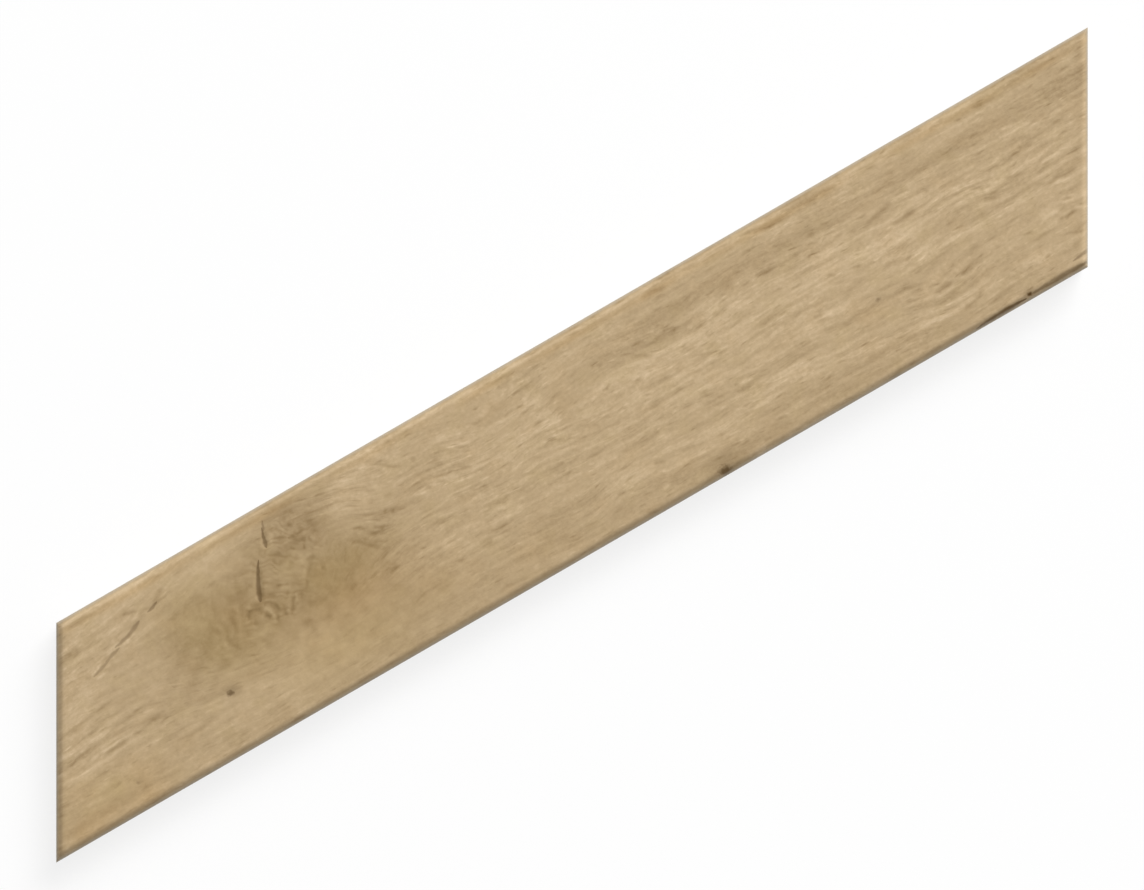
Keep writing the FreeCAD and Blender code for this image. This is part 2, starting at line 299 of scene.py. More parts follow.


# Streaks of the figure and painted highlights: start x and y, end x and y, half width in millimetres, and
# lift in lightness.
STREAKS_AND_HIGHLIGHTS = [
    # Wavy streaks of the outer end.
    (-107.5, 0.4, -95.5, 1.7, 0.38, -10),
    (-98.6, 1.1, -96.0, 2.1, 0.35, -7),
    (-108.3, -2.5, -95.4, -0.5, 0.40, -10),
    (-105.4, -2.1, -100.8, -1.4, 0.40, -16),
    (-109.8, -4.4, -99.0, -3.6, 0.38, -11),
    (-99.8, -3.5, -91.3, -2.1, 0.40, -13),
    (-104.2, -6.9, -97.0, -5.95, 0.42, -10),
    (-101.9, -6.55, -97.5, -5.95, 0.42, -16),
    (-96.2, -6.0, -88.4, -4.8, 0.40, -14),
    (-90.7, -6.5, -88.6, -6.1, 0.35, -17),
    (-106.4, -9.3, -99.0, -8.7, 0.38, -12),
    (-105.4, -9.4, -102.7, -9.05, 0.35, -7),
    (-88.4, -11.5, -81.3, -10.6, 0.45, -13),
    (-106.0, -3.4, -96.0, -2.0, 0.40, 7),
    (-97.0, -4.6, -89.0, -3.4, 0.40, 7),
    (-99.8, 12.9, -96.5, 12.6, 0.40, -13),
    (-97.0, 10.0, -95.0, 10.0, 0.30, -14),
    (-99.2, 8.3, -97.2, 7.0, 0.35, -11),
    (-103.4, 6.1, -100.0, 6.8, 0.40, -10),
    (-109.5, -2.8, -105.3, -2.9, 0.35, 10),
    (-104.6, -5.9, -98.5, -5.4, 0.35, 14),
    (-87.0, -11.9, -82.0, -11.6, 0.40, 9),
    # Painted highlights on the lit lips of the long drying split.
    (-97.2, 7.5, -93.4, 8.8, 0.28, 24),
    (-96.6, 6.3, -94.4, 6.9, 0.26, 20),
    (-92.8, 9.1, -90.0, 10.3, 0.26, 15),
    (-89.6, 9.2, -86.4, 10.2, 0.26, 12),
    (-85.6, 12.4, -83.8, 12.9, 0.30, 12),
    # Soft shadows beside its upper end.
    (-80.7, 12.7, -78.0, 15.0, 0.50, -22),
    (-86.8, 14.3, -84.0, 13.3, 0.42, -20),
    (-83.6, 13.1, -81.4, 12.4, 0.40, -15),
    # Furrows of the knot to the right of its main split.
    (-58.4, 10.5, -56.2, 9.3, 0.25, -16),
    (-57.0, 9.5, -55.2, 8.3, 0.22, -12),
    (-57.5, 11.5, -55.9, 10.7, 0.26, 13),
    (-56.6, 12.9, -56.3, 12.0, 0.26, 14),
    (-56.1, 14.0, -55.7, 12.4, 0.20, 9),
    (-55.4, 14.2, -55.1, 12.7, 0.22, -9),
    (-62.1, 10.1, -61.6, 9.3, 0.22, 9),
    (-61.4, 7.2, -59.9, 6.3, 0.22, 10),
    (-61.7, 6.4, -60.4, 5.8, 0.20, -9),
    (-62.0, 5.8, -60.2, 4.9, 0.22, 8),
    (-59.9, 8.1, -58.2, 6.9, 0.22, 8),
    (-59.8, 7.2, -58.0, 6.2, 0.20, -8),
    (-59.7, 4.9, -57.5, 3.5, 0.20, -17),
    (-59.3, 4.3, -57.4, 3.0, 0.38, 10),
    (-58.3, 3.0, -58.9, 1.9, 0.24, -10),
    # Curls of the knot's lower rim.
    (-63.0, 3.7, -60.6, 2.1, 0.26, 9),
    (-62.9, 4.6, -60.5, 3.1, 0.28, -12),
    (-62.1, 2.6, -61.7, 1.3, 0.26, -9),
    (-61.1, 1.7, -61.5, 0.5, 0.22, -9),
    (-60.9, 2.2, -60.6, 0.8, 0.24, 9),
    (-63.7, 3.1, -62.9, 1.4, 0.28, 10),
    (-63.0, 1.8, -62.6, 0.1, 0.26, 8),
    (-62.6, 0.5, -63.4, -0.9, 0.30, 8),
    (-64.8, 2.8, -64.2, 1.6, 0.48, -14),
    (-64.2, 1.2, -63.3, 0.1, 0.48, -24),
    (-60.2, 0.4, -60.9, -0.9, 0.36, -23),
    (-61.9, 0.0, -62.8, -0.9, 0.34, -16),
    (-59.3, -0.4, -59.9, -1.2, 0.24, -10),
    (-57.9, 1.5, -59.3, -0.7, 0.36, -21),
    (-57.2, 2.0, -57.8, 0.6, 0.24, 10),
    (-56.3, 1.8, -56.9, 0.4, 0.26, -10),
    (-54.2, 2.9, -55.7, 1.5, 0.42, -13),
    (-52.3, 4.9, -53.6, 3.3, 0.40, -9),
    (-53.4, 5.0, -54.6, 3.4, 0.34, 8),
    (-66.1, 3.4, -67.1, 2.1, 0.50, -22),
    (-67.0, 2.4, -66.9, 0.8, 0.26, -9),
    (-65.9, 1.6, -66.5, 0.3, 0.30, -11),
    (-65.6, 4.6, -66.4, 3.6, 0.32, 11),
    # Rings of the knot's left flank, and the grain that is drawn up to it from below.
    (-70.3, 0.8, -68.8, 5.4, 0.50, -7),
    (-69.3, 0.8, -67.7, 5.0, 0.40, 5),
    (-67.9, 2.6, -66.5, 6.0, 0.45, -7),
    (-88.0, -2.5, -79.0, 4.0, 0.70, -6),
    (-84.0, -4.5, -76.0, 1.5, 0.70, -6),
    (-86.0, -3.6, -77.5, 2.6, 0.60, 5),
    (-82.0, -6.0, -75.0, -0.5, 0.60, 5),
    (-80.0, -6.5, -73.5, -1.5, 0.70, -6),
    # Short strokes of the knot's upper right rim.
    (-54.5, 13.3, -54.1, 12.4, 0.26, -11),
    (-53.0, 13.6, -51.9, 12.9, 0.24, -9),
    (-53.5, 12.9, -52.9, 12.2, 0.24, -9),
    (-53.4, 11.5, -52.3, 11.0, 0.26, -11),
    (-52.0, 11.8, -51.5, 10.8, 0.26, -11),
    (-51.5, 9.9, -50.8, 9.2, 0.30, -17),
    (-51.3, 9.0, -51.9, 7.9, 0.28, -16),
    (-54.2, 9.5, -53.4, 8.8, 0.26, -12),
    (-54.6, 8.4, -53.8, 7.9, 0.30, 9),
    (-49.6, 9.6, -49.1, 8.7, 0.34, 13),
    (-50.8, 10.5, -50.1, 9.7, 0.26, 11),
    (-55.0, 14.8, -54.3, 14.2, 0.30, 11),
    (-50.3, 7.6, -49.3, 7.0, 0.30, 11),
    (-52.2, 6.9, -51.2, 6.5, 0.26, 9),
    (-49.6, 7.6, -48.6, 6.6, 0.26, -11),
    (-50.9, 15.4, -50.1, 14.6, 0.36, -11),
    # Hatched strokes beside the knot, where the grain comes down to level.
    (-42.4, 6.9, -40.6, 6.3, 0.38, -27),
    (-41.4, 6.2, -39.8, 5.6, 0.28, -15),
    (-43.2, 4.8, -38.6, 0.5, 0.45, -15),
    (-41.8, 4.6, -38.0, 1.6, 0.30, -11),
    (-40.2, 4.6, -37.6, 3.0, 0.35, -13),
    (-39.2, 5.0, -37.0, 3.7, 0.35, -12),
    (-37.9, 4.8, -37.6, 3.8, 0.40, -9),
    (-36.0, 6.7, -35.2, 6.2, 0.40, -14),
    (-34.8, 6.1, -33.9, 5.7, 0.45, -24),
    (-33.0, 14.8, -29.0, 12.3, 0.28, -19),
    (-32.6, 15.3, -30.2, 13.9, 0.22, -14),
    (-34.9, 13.3, -32.4, 11.8, 0.30, 11),
    (-37.8, 12.5, -35.4, 10.8, 0.40, -10),
    (-37.8, 9.6, -36.2, 9.3, 0.45, -12),
    (-34.6, 9.2, -32.9, 8.8, 0.45, -11),
    (-29.3, 7.1, -26.6, 7.0, 0.40, -18),
    (-26.9, 6.6, -26.2, 6.1, 0.40, -17),
    (-25.6, 7.6, -19.8, 6.5, 0.33, -17),
    (-19.9, 6.6, -18.0, 5.7, 0.30, -14),
    (-29.6, 6.3, -27.2, 5.5, 0.30, 13),
    (-22.6, 11.3, -19.8, 10.9, 0.35, -15),
    (-27.1, 12.5, -26.0, 12.1, 0.40, -17),
    (-23.8, 9.8, -22.2, 8.9, 0.30, -16),
    (-28.9, -7.8, -27.4, -8.0, 0.35, -18),
    (-24.0, -7.3, -17.4, -6.9, 0.50, -12),
    (-21.4, -7.5, -19.4, -8.1, 0.30, 11),
    (-30.0, -4.3, -25.7, -4.7, 0.35, 11),
    (-33.2, -5.1, -29.8, -5.5, 0.40, -9),
    # Streaks of the plain middle.
    (-6.6, 4.6, -3.4, 3.6, 0.60, -10),
    (-9.6, 13.4, -8.4, 13.0, 0.60, -8),
    (9.9, 10.6, 12.3, 10.2, 0.50, -15),
    (24.2, 9.6, 27.3, 8.8, 0.50, -22),
    (11.2, -10.3, 13.4, -10.9, 0.40, -18),
    (2.5, -12.1, 4.3, -12.2, 0.45, -15),
    (37.8, 0.5, 40.6, 0.6, 0.45, -11),
    (16.7, 8.9, 21.2, 6.7, 0.40, -15),
    (16.7, 2.4, 21.8, 2.0, 0.35, -15),
    (17.3, 3.2, 24.0, 3.4, 0.35, 12),
    (26.7, 3.2, 30.5, 1.8, 0.25, -13),
    (1.7, 2.2, 6.5, 0.8, 0.60, -11),
    (31.9, -5.7, 35.0, -5.9, 0.35, 21),
    (44.5, 9.8, 46.9, 9.4, 0.40, -19),
    (49.0, 7.4, 52.0, 7.3, 0.50, -10),
    # Streaks of the spine end.
    (55.8, 3.4, 57.1, 2.7, 0.30, -17),
    (62.8, 7.9, 67.5, 7.9, 0.35, -14),
    (66.8, 7.8, 72.5, 9.2, 0.45, -27),
    (70.6, 5.6, 75.8, 5.6, 0.45, -28),
    (71.4, -9.45, 75.1, -8.95, 0.40, -28),
    (71.0, -8.4, 75.0, -7.9, 0.35, 12),
    (70.5, -10.3, 76.0, -9.8, 0.35, 11),
    (76.8, -8.8, 80.2, -7.5, 0.40, -16),
    (70.5, -11.4, 75.4, -10.9, 0.40, -14),
    (74.3, -14.6, 79.0, -13.4, 0.40, -30),
    (69.0, -14.8, 74.5, -14.7, 0.40, -8),
    (56.4, 15.3, 58.4, 14.7, 0.30, -13),
    (99.3, -2.0, 105.0, -2.2, 0.40, -29),
    (97.2, -9.1, 101.3, -9.1, 0.42, -38),
    (94.6, -7.3, 98.8, -7.4, 0.45, 21),
    (97.5, -11.7, 99.7, -12.5, 0.30, -13),
    (97.4, 6.2, 100.7, 5.8, 0.50, -18),
    (98.6, 7.1, 100.8, 7.0, 0.34, -10),
    (81.6, 4.7, 86.0, 3.9, 0.35, -10),
    (86.0, 4.1, 90.1, 2.7, 0.36, -21),
    (86.3, 3.2, 89.8, 1.9, 0.35, 9),
    (90.5, 3.5, 92.0, 2.8, 0.38, -14),
    (92.3, 2.7, 95.6, 2.2, 0.40, -18),
    (87.3, 1.1, 90.1, 0.2, 0.34, -22),
    (94.2, 0.0, 96.0, -0.3, 0.34, -12),
    (96.9, -1.3, 98.7, -1.8, 0.34, -13),
    (99.6, -2.9, 103.2, -3.1, 0.34, 11),
    (79.0, 0.8, 81.8, 0.2, 0.36, -11),
    (55.4, 10.3, 57.6, 9.9, 0.40, -13),
    (50.3, -1.3, 51.8, -1.6, 0.34, -13),
    (51.1, -2.6, 53.3, -2.8, 0.34, 12),
    (62.5, -3.7, 65.1, -3.9, 0.36, -12),
    (67.8, -7.1, 69.7, -7.3, 0.34, -12),
    # Brown streaks just inside the upper arris.
    (-97.0, 17.1, -91.0, 16.9, 0.45, -11),
    (-6.9, 17.0, -1.0, 16.9, 0.55, -13),
    (24.3, 16.7, 29.3, 16.7, 0.50, -22),
    (47.7, 17.1, 54.6, 16.6, 0.50, -18),
    (58.3, 16.9, 65.4, 16.8, 0.50, -19),
    (93.6, 17.0, 99.0, 16.5, 0.50, -16),
    (106.6, 17.0, 109.0, 17.0, 0.40, -9),
]


# The shares of its way between which a streak fades in, and those between which it fades out.
STREAK_START = (-0.1, 0.22)
STREAK_END = (0.78, 1.1)


def streak_and_highlight_lift(x, y):
    """Lift in lightness of the streaks and painted highlights: a bell curve across each, waved by ripples,
    faded at both ends.
    """
    lift = np.zeros_like(x)
    wave = 0.22 * ripple(x, y, 2.4, 1.6, 30) + 0.12 * ripple(x, y, 0.9, 0.9, 31)
    for *line, half_thick, light in STREAKS_AND_HIGHLIGHTS:
        share, side = share_and_side(x, y, *line)
        ends = eased(share, *STREAK_START) * (1 - eased(share, *STREAK_END))
        lift = lift + light * ends * np.exp(-(((side + wave) / half_thick) ** 2))
    return lift


# Splits: start x and y, end x and y, bow to the left of that way, half width and depth in millimetres, the
# share of the way at which it is widest, and darkness from 0 to 1.
SPLITS = [
    (-60.1, 10.5, -63.65, 3.6, -0.25, 0.56, 0.26, 0.84, 0.63),
    (-56.6, 15.3, -57.75, 11.6, -0.10, 0.43, 0.20, 0.80, 0.58),
    (-55.9, 16.5, -56.8, 14.4, 0.05, 0.24, 0.10, 0.60, 0.35),
    (-96.9, 6.9, -92.6, 8.3, 0.05, 0.33, 0.11, 0.45, 0.31),
    (-93.7, 8.2, -90.1, 9.35, -0.05, 0.37, 0.12, 0.55, 0.31),
    (-90.9, 9.7, -84.5, 11.75, -0.35, 0.47, 0.17, 0.70, 0.40),
    (-82.5, 12.3, -80.0, 13.2, -0.15, 0.38, 0.16, 0.50, 0.44),
    (74.5, -18.6, 85.4, -18.3, 0.05, 0.50, 0.15, 0.50, 0.82),
    (86.6, -18.1, 98.6, -18.1, 0.05, 0.60, 0.12, 0.55, 0.50),
    (96.0, -16.7, 100.4, -16.3, 0.05, 0.36, 0.10, 0.75, 0.45),
]
# Pin knots: middle, radius along and across the grain, depth and darkness.
PINS = [
    ((-76.7, -8.1), (1.05, 0.85), 0.20, 0.76),
    ((-99.5, -13.8), (0.40, 0.50), 0.10, 0.30),
    ((22.0, -18.2), (1.75, 1.65), 0.20, 0.82),
    ((86.2, -17.9), (0.66, 0.54), 0.15, 1.00),
    ((61.7, -5.0), (0.95, 0.50), 0.08, 0.48),
]
# A split's half width grows from nothing at its ends, by this power of the share of the way to its widest
# place, and its hollow is wider than its dark line by this factor. The smallest width keeps it from 0.
SPLIT_TAPER = 0.44
HOLLOW_WIDTH = 1.6
SMALLEST_WIDTH = 1e-6


def split_pits(x, y):
    """Depth of the splits: across each a hollow that narrows from its widest place to both ends."""
    depth = np.zeros_like(x)
    for *line, bow, half_thick, deep, widest, _ in SPLITS:
        share, side = share_and_side(x, y, *line)
        taper = np.clip(np.minimum(share / widest, (1 - share) / (1 - widest)), 0, 1) ** SPLIT_TAPER
        off = side - bow * np.clip(4 * share * (1 - share), 0, 1)
        hollow = np.clip(1 - (off / (HOLLOW_WIDTH * half_thick * taper + SMALLEST_WIDTH)) ** 2, 0, 1)
        depth = np.maximum(depth, deep * taper * hollow)
    return depth


def pin_pits(x, y):
    """Depth of the pin knots: one bell-shaped pit each."""
    depth = np.zeros_like(x)
    for (middle_x, middle_y), (reach_x, reach_y), deep, _ in PINS:
        depth = np.maximum(depth, deep * oval(x, y, middle_x, middle_y, reach_x, reach_y))
    return depth


# Where the knot's wood is wrinkled: middle x and y, reach along and across, and strength from 0 to 1.
WRINKLES = [
    (-60, 1.5, 5.0, 2.8, 0.55),
    (-67, 2.0, 3.0, 3.0, 0.35),
    (-52, 10, 3.2, 4.5, 0.55),
    (-55, 13.5, 2.8, 2.5, 0.55),
    (-58, 8.0, 4.0, 3.5, 0.45),
    (-63, 11, 5.0, 4.0, 0.25),
    (-38, 4.5, 3.0, 3.0, 0.5),
]
# Where the knot's growth rings show: middle x and y, reach along and across, and strength from 0 to 1.
RINGS = [
    (-71, 2, 5, 6, 1.0),
    (-66, 9, 5, 5, 0.6),
    (-64, -4, 7, 3, 0.5),
]
# Where small dark flecks lie in the knot: middle x and y, reach along and across, and strength from 0 to 1.
FLECKS = [
    (-51.5, 10.5, 3.2, 4.0, 1.0),
    (-55, 14, 2.5, 2.0, 0.6),
    (-66, 2.5, 2.8, 2.5, 0.8),
    (-59, 0, 4.0, 1.8, 0.7),
    (-66, 8, 4.0, 3.0, 0.4),
    (-49, 3, 4.0, 2.5, 0.6),
    (-52, 6, 2.5, 2.0, 0.6),
    (-38, 5, 3.0, 2.5, 0.6),
]
# Where the grain lies in even waves: middle x and y, reach along and across, and strength from 0 to 1.
WAVES = [
    (-102, -4, 11, 6, 1.0),
    (-88, 10, 8, 4, 0.4),
    (-22, 9, 10, 3.5, 0.8),
    (-24, -6, 9, 3, 0.6),
    (20, 4, 10, 4, 0.6),
    (68, 8, 7, 2.5, 0.6),
    (75, -11, 7, 4.5, 0.9),
    (89, 3, 8, 3.5, 0.7),
    (101, -7, 8, 7, 0.9),
]
WAVE_PITCH = 1.75
# Where the printed grain is weak: middle x and y, reach along and across, and the share lost, or gained where
# it is below 0. Elsewhere the grain is whole, and its strength stays between the least and the most.
FADES = [
    (88, 0, 45, 40, -0.03),
    (-60, 4, 17, 12, 0.80),
    (-50, -10, 18, 7, 0.68),
    (-25, -16, 30, 5, 0.25),
    (-86, 2, 14, 12, 0.40),
    (-106, -15, 14, 6, 0.45),
    (-77, -12, 13, 6, 0.32),
    (-67, 13.5, 11, 4, 0.42),
    (64, -5, 32, 6, 0.12),
]
LEAST_GRAIN = 0.2
MOST_GRAIN = 1.2
# Where the knot's wood ends, from whole to none, as shares of its outline.
KNOT_FADE = (0.75, 1.2)
# Noise makes a fleck of the knot where it is above this level.
FLECK_LEVEL = 0.25


def patched(x, y, patches):
    """The sum of soft oval patches, each times its own strength."""
    result = np.zeros_like(x)
    for *place, strength in patches:
        result = result + strength * oval(x, y, *place)
    return result


def shown(patches):
    """How strongly something shows on the face: the sum of its patches, held between 0 and 1."""
    return np.clip(patched(face_x, face_y, patches), 0, 1)


grain_s, grain_t = grain_lines(face_x, face_y)
in_knot = 1 - eased(knot_share(face_x, face_y), *KNOT_FADE)
plain_grain = np.clip(1 - patched(face_x, face_y, FADES), LEAST_GRAIN, MOST_GRAIN)
wrinkles = knot_curls(face_x, face_y) * shown(WRINKLES)
streaks_and_highlights = streak_and_highlight_lift(face_x, face_y)
phase = grain_t / WAVE_PITCH + 0.2 * ripple(grain_s, grain_t, 7, 1.7, 15)
waves = np.cos(2 * math.pi * phase) * (0.55 + 0.45 * ripple(grain_s, grain_t, 6, 1.3, 16))
waves = waves * shown(WAVES)
eye = knot_eye(face_x, face_y)
rings = knot_rings(face_x, face_y) * shown(RINGS)
blotches = ripple(face_x, face_y, 1.7, 1.7, 56) + 0.7 * ripple(face_x, face_y, 0.9, 0.9, 57)
knot_flecks = 1.4 * ripple(face_x, face_y, 1.3, 1.0, 58) + 0.5 * ripple(face_x, face_y, 0.7, 0.7, 59)
knot_flecks = np.clip(knot_flecks - FLECK_LEVEL, 0, 1) * shown(FLECKS)

# Brushed relief: depths below the face in millimetres, a streak's for each step of its lightness. The relief
# fades in between two distances from the edges, and the pits of the splits and pin knots nearer to them.
BRUSH_DEPTH = 0.045
LONG_FIBRE_DEPTH = 0.016
SHORT_FIBRE_DEPTH = 0.010
KNOT_DEPTH = 0.10
SWELL_DEPTH = 0.03
CURL_DEPTH = 0.06
WAVE_DEPTH = 0.015
EYE_DEPTH = 0.01
STREAK_DEPTH = 0.002
RELIEF_MARGIN = (0.3, 2.2)
PIT_MARGIN = (0.0, 0.7)

brushed = dashes(grain_s, grain_t, 5, 1.3, 0.6, 20) * plain_grain
long_fibres = LONG_FIBRE_DEPTH * (1 + ripple(grain_s, grain_t, 4.5, 1.0, 11))
short_fibres = SHORT_FIBRE_DEPTH * (1 + ripple(grain_s, grain_t, 2, 0.6, 12))
hollow = KNOT_DEPTH * in_knot + SWELL_DEPTH * (1 + ripple(face_x, face_y, 38, 12, 13))
relief = BRUSH_DEPTH * brushed + (long_fibres + short_fibres) * plain_grain + hollow
relief = relief - CURL_DEPTH * wrinkles - WAVE_DEPTH * waves + EYE_DEPTH * eye - STREAK_DEPTH * streaks_and_highlights
relief = np.maximum(relief, 0) * eased(edge_inset, *RELIEF_MARGIN)
relief = relief + split_pits(face_x, face_y) + pin_pits(face_x, face_y)
relief = relief * eased(edge_inset, *PIT_MARGIN)

# Broad light and dark of the print: middle x and y, reach along and across, and lift in lightness.
PATCHES = [
    (-70, 0, 40, 30, -3),
    (60, 6, 50, 14, 2),
    (-64, 4.0, 15, 8, -25),
    (-79, 3.0, 6, 7, -10),
    (-70, -1.5, 6, 3.5, -6),
    (-48, 10, 5, 5, -10),
    (-36.5, 5.5, 4, 4, -6),
    (-58.5, -2, 5, 2.5, -5),
    (-66.5, 3.5, 2.5, 2.5, -3),
    (-46, 0.0, 11, 7, -17),
    (-44, -15, 12, 3, -4),
    (-54, 14, 7, 5, -15),
    (-44, 15, 4, 3, -6),
    (-66, 15, 8, 3, 4),
    (-56.5, 5, 3, 2.5, 8),
    (-40, -11, 14, 6, -7),
    (-10, -12, 15, 5, -5),
    (-40.5, 12.5, 5, 4, 12),
    (-71, 14, 6, 3, 6),
    (-93, 12, 10, 5, 5),
    (-103, 0, 7, 9, 8),
    (-73, -11, 12, 4, 4),
    (20, 4, 28, 4.5, 7),
    (66, 2.5, 16, 3, 5),
    (95, 0, 14, 5, 3),
    (59, -6, 8, 2, -6),
    (45, -9.5, 45, 2, 2),
    (15, -16, 25, 2.5, -6),
    (60, -16, 20, 2, -4),
    (40, 12.5, 35, 1.8, -8),
    (86, 12, 30, 2, -11),
    (113, 13, 8, 6, -9),
    (83, -15.5, 9, 2.5, -6),
    (5, 12, 4, 5, 4),
    (5, -13, 6, 4, 5),
    (42, -13, 8, 4, -2),
    (-108, -15, 12, 3, -7),
    (-86, 16.5, 8, 3, 6),
    (-57, 16.5, 3.5, 2, 6),
    (-50, 16.5, 3, 2, -5),
    (-42, 16.5, 4, 2, -7),
    (-50, 0, 3, 3, 6),
    (-61, 1.5, 3, 3, 4),
    (-50, -4, 3, 2.5, -3),
]
# Small buds, pale islands and smudges in and under the knot: middle x and y, both reaches, and lift.
BUDS = [
    (-66.9, 2.5, 0.9, 0.5, -8),
    (-67.6, 0.3, 0.8, 0.8, 8),
    (-65.8, -1.2, 1.2, 0.5, 7),
    (-67.9, 6.6, 0.9, 0.7, -6),
    (-65.7, 6.6, 1.0, 0.6, -7),
    (-48.5, 11.5, 0.7, 1.2, -15),
    (-58.3, 3.2, 1.4, 1.4, 8),
    (-56.8, 5.8, 2.4, 1.2, 7),
    (-53.5, 6.5, 1.6, 1.2, 6),
    (-71.6, -1.5, 0.7, 1.6, -9),
    (-57.5, -3.8, 0.9, 0.7, -9),
    (-54.8, -1.6, 1.2, 0.8, -9),
    (-51.6, -0.6, 0.8, 1.4, -8),
    (-47.8, -2.6, 1.1, 1.6, -9),
    (-39.6, -2.9, 1.0, 0.9, -10),
]
# Olive stain: middle x and y, reach along and across, and strength from 0 to 1.
OLIVE_STAINS = [
    (-62, 5, 13, 8, 0.4),
    (-76, 6, 6, 7, 0.8),
    (-70, -2, 8, 5, 0.6),
    (-46, 2, 7, 4, 0.8),
    (-52.5, 1.5, 3.5, 4, 0.5),
    (-52, -11, 14, 5, 0.6),
    (-105, -12.5, 5, 3, 0.6),
]
# Russet stain: middle x and y, reach along and across, and strength from 0 to 1.
RUSSET_STAINS = [
    (-69, 4, 4, 4, 0.35),
    (-48, -3.5, 9, 4, 0.50),
    (-50, -6, 18, 8, 0.40),
    (-110, -10, 5, 3, 0.35),
    (-109, -16, 6, 2.5, 0.60),
    (-99, -17, 4, 1.5, 0.50),
    (-113, -17, 3, 2, 0.40),
    (-98, -13.5, 5, 4, 0.50),
    (-33, -10, 5, 3, 0.25),
    (-15, -13, 6, 3, 0.25),
    (60, -6.5, 4, 2, 0.35),
    (26.8, 16.7, 3.0, 0.7, 0.5),
    (51.0, 16.9, 4.0, 0.7, 0.5),
    (62.0, 16.9, 4.0, 0.7, 0.5),
    (96.3, 16.8, 3.0, 0.7, 0.5),
]


def margin(inset, middle, reach):
    """A line along one edge: a bell curve of the distance from that edge."""
    return np.exp(-(((inset - middle) / reach) ** 2))


# Features of the figure in the print, each with its lift in lightness.
FEATURES = [
    (streaks_and_highlights, 1.0),
    (wrinkles, 40.0),
    (waves, 10.0),
    (eye, -3.0),
    (rings, 6.0),
    (knot_flecks, -15.0),
    (blotches * np.clip(1 - plain_grain, 0, 1), 7.0),
]
# Painted light and shade along the edges: distance from the edge, the line's middle and reach, and lift. The
# pale lines at the spine end and inside the upper arris are painted highlights, and the dark lines are
# painted shade.
PAINTED_EDGE_LIGHTS = [
    (spine_inset, 0.75, 0.35, 8),
    (spine_inset, 2.0, 0.9, -5),
    (upper_inset, 0.5, 0.3, -11),
    (upper_inset, 1.1, 0.4, 10),
    (upper_inset, 4.0, 1.5, 3),
    (lower_inset, 3.0, 1.8, -3),
]
# The upper arris darkens from left to right by this lift for each millimetre.
UPPER_SLOPE = -0.11
# How far a ripple pushes the rims of the buds out of their ovals.
BUD_PUSH = 0.4
# Bands along the edges: the middle of each as a distance from its edge, and its reach. The lower and outer
# bands hold painted shade, and the golden band a painted warm highlight tint.
UPPER_ARRIS = (0.8, 0.6)
LOWER_SHADE_BAND = (0.9, 0.5)
OUTER_SHADE_BAND = (1.0, 0.45)
HIGHLIGHT_TINT_BAND = (2.0, 0.75)
# Painted shade: the share of the colour's light that is lost in the bands at the lower edge and the outer
# end.
LOWER_PAINTED_SHADE = 0.30
OUTER_PAINTED_SHADE = 0.265

pushed_x = face_x + BUD_PUSH * ripple(face_x, face_y, 1.4, 1.4, 18)
pushed_y = face_y + BUD_PUSH * ripple(face_x, face_y, 1.4, 1.4, 19)
tone_and_edge_light = patched(face_x, face_y, PATCHES) + patched(pushed_x, pushed_y, BUDS)
tone_and_edge_light = tone_and_edge_light + UPPER_SLOPE * face_x * margin(upper_inset, *UPPER_ARRIS)
for feature, lift in FEATURES:
    tone_and_edge_light = tone_and_edge_light + lift * feature
# Painted highlights and painted shade along the edges, as from a lamp at the upper right.
for from_edge, middle, reach, lift in PAINTED_EDGE_LIGHTS:
    tone_and_edge_light = tone_and_edge_light + lift * margin(from_edge, middle, reach)
# Painted shade: the colour is darkened in bands along the lower edge and the outer end.
lower_painted_shade = 1 - LOWER_PAINTED_SHADE * margin(lower_inset, *LOWER_SHADE_BAND)
outer_painted_shade = 1 - OUTER_PAINTED_SHADE * margin(outer_inset, *OUTER_SHADE_BAND)
painted_edge_shade = lower_painted_shade * outer_painted_shade
olive = shown(OLIVE_STAINS)
# A painted warm highlight tint along the upper edge, carried with the russet stains.
painted_highlight_tint = margin(upper_inset, *HIGHLIGHT_TINT_BAND) * (0.5 + 0.45 * ripple(face_x, face_y, 9, 50, 14))
russet_and_highlight = np.clip(shown(RUSSET_STAINS) + painted_highlight_tint, 0, 1)


# The skin of the slab
# One closed profile is carried along the grain: over the face, down the lower side, along the back with its
# grooves and up the upper side. The two mitred ends close it, so the slab is watertight.
into_round = ARRIS_RADIUS - np.minimum(edge_inset, ARRIS_RADIUS)
arris_drop = ARRIS_RADIUS - np.sqrt(ARRIS_RADIUS**2 - into_round**2)
face_z = thickness - arris_drop - relief

groove_pitch = (2 * half_width - 2 * EDGE_LAND - GROOVE_MOUTH) / (GROOVE_COUNT - 1)
groove_middles = -half_width + EDGE_LAND + GROOVE_MOUTH / 2 + groove_pitch * np.arange(GROOVE_COUNT)
groove_corners = np.array([-GROOVE_MOUTH, -GROOVE_FLOOR, GROOVE_FLOOR, GROOVE_MOUTH]) / 2
back_y = (groove_middles[:, None] + groove_corners).ravel()
back_z = np.tile([0, GROOVE_DEPTH, GROOVE_DEPTH, 0], GROOVE_COUNT)

wall_count = len(WALL_STEPS)
loop_y = np.concatenate([across, np.full(wall_count, -half_width), back_y, np.full(wall_count, half_width)])
loop_z = np.concatenate([
    face_z,
    face_z[:, -1:] * WALL_STEPS,
    np.broadcast_to(back_z, (len(along), len(back_z))),
    face_z[:, :1] * WALL_STEPS[::-1],
], axis=1)
loop_x = along[:, None] + loop_y * end_lean
turn_cos = math.cos(grain_turn)
turn_sin = math.sin(grain_turn)
places = np.stack([
    loop_x * turn_cos - loop_y * turn_sin,
    loop_x * turn_sin + loop_y * turn_cos,
    loop_z,
], axis=-1) * MM

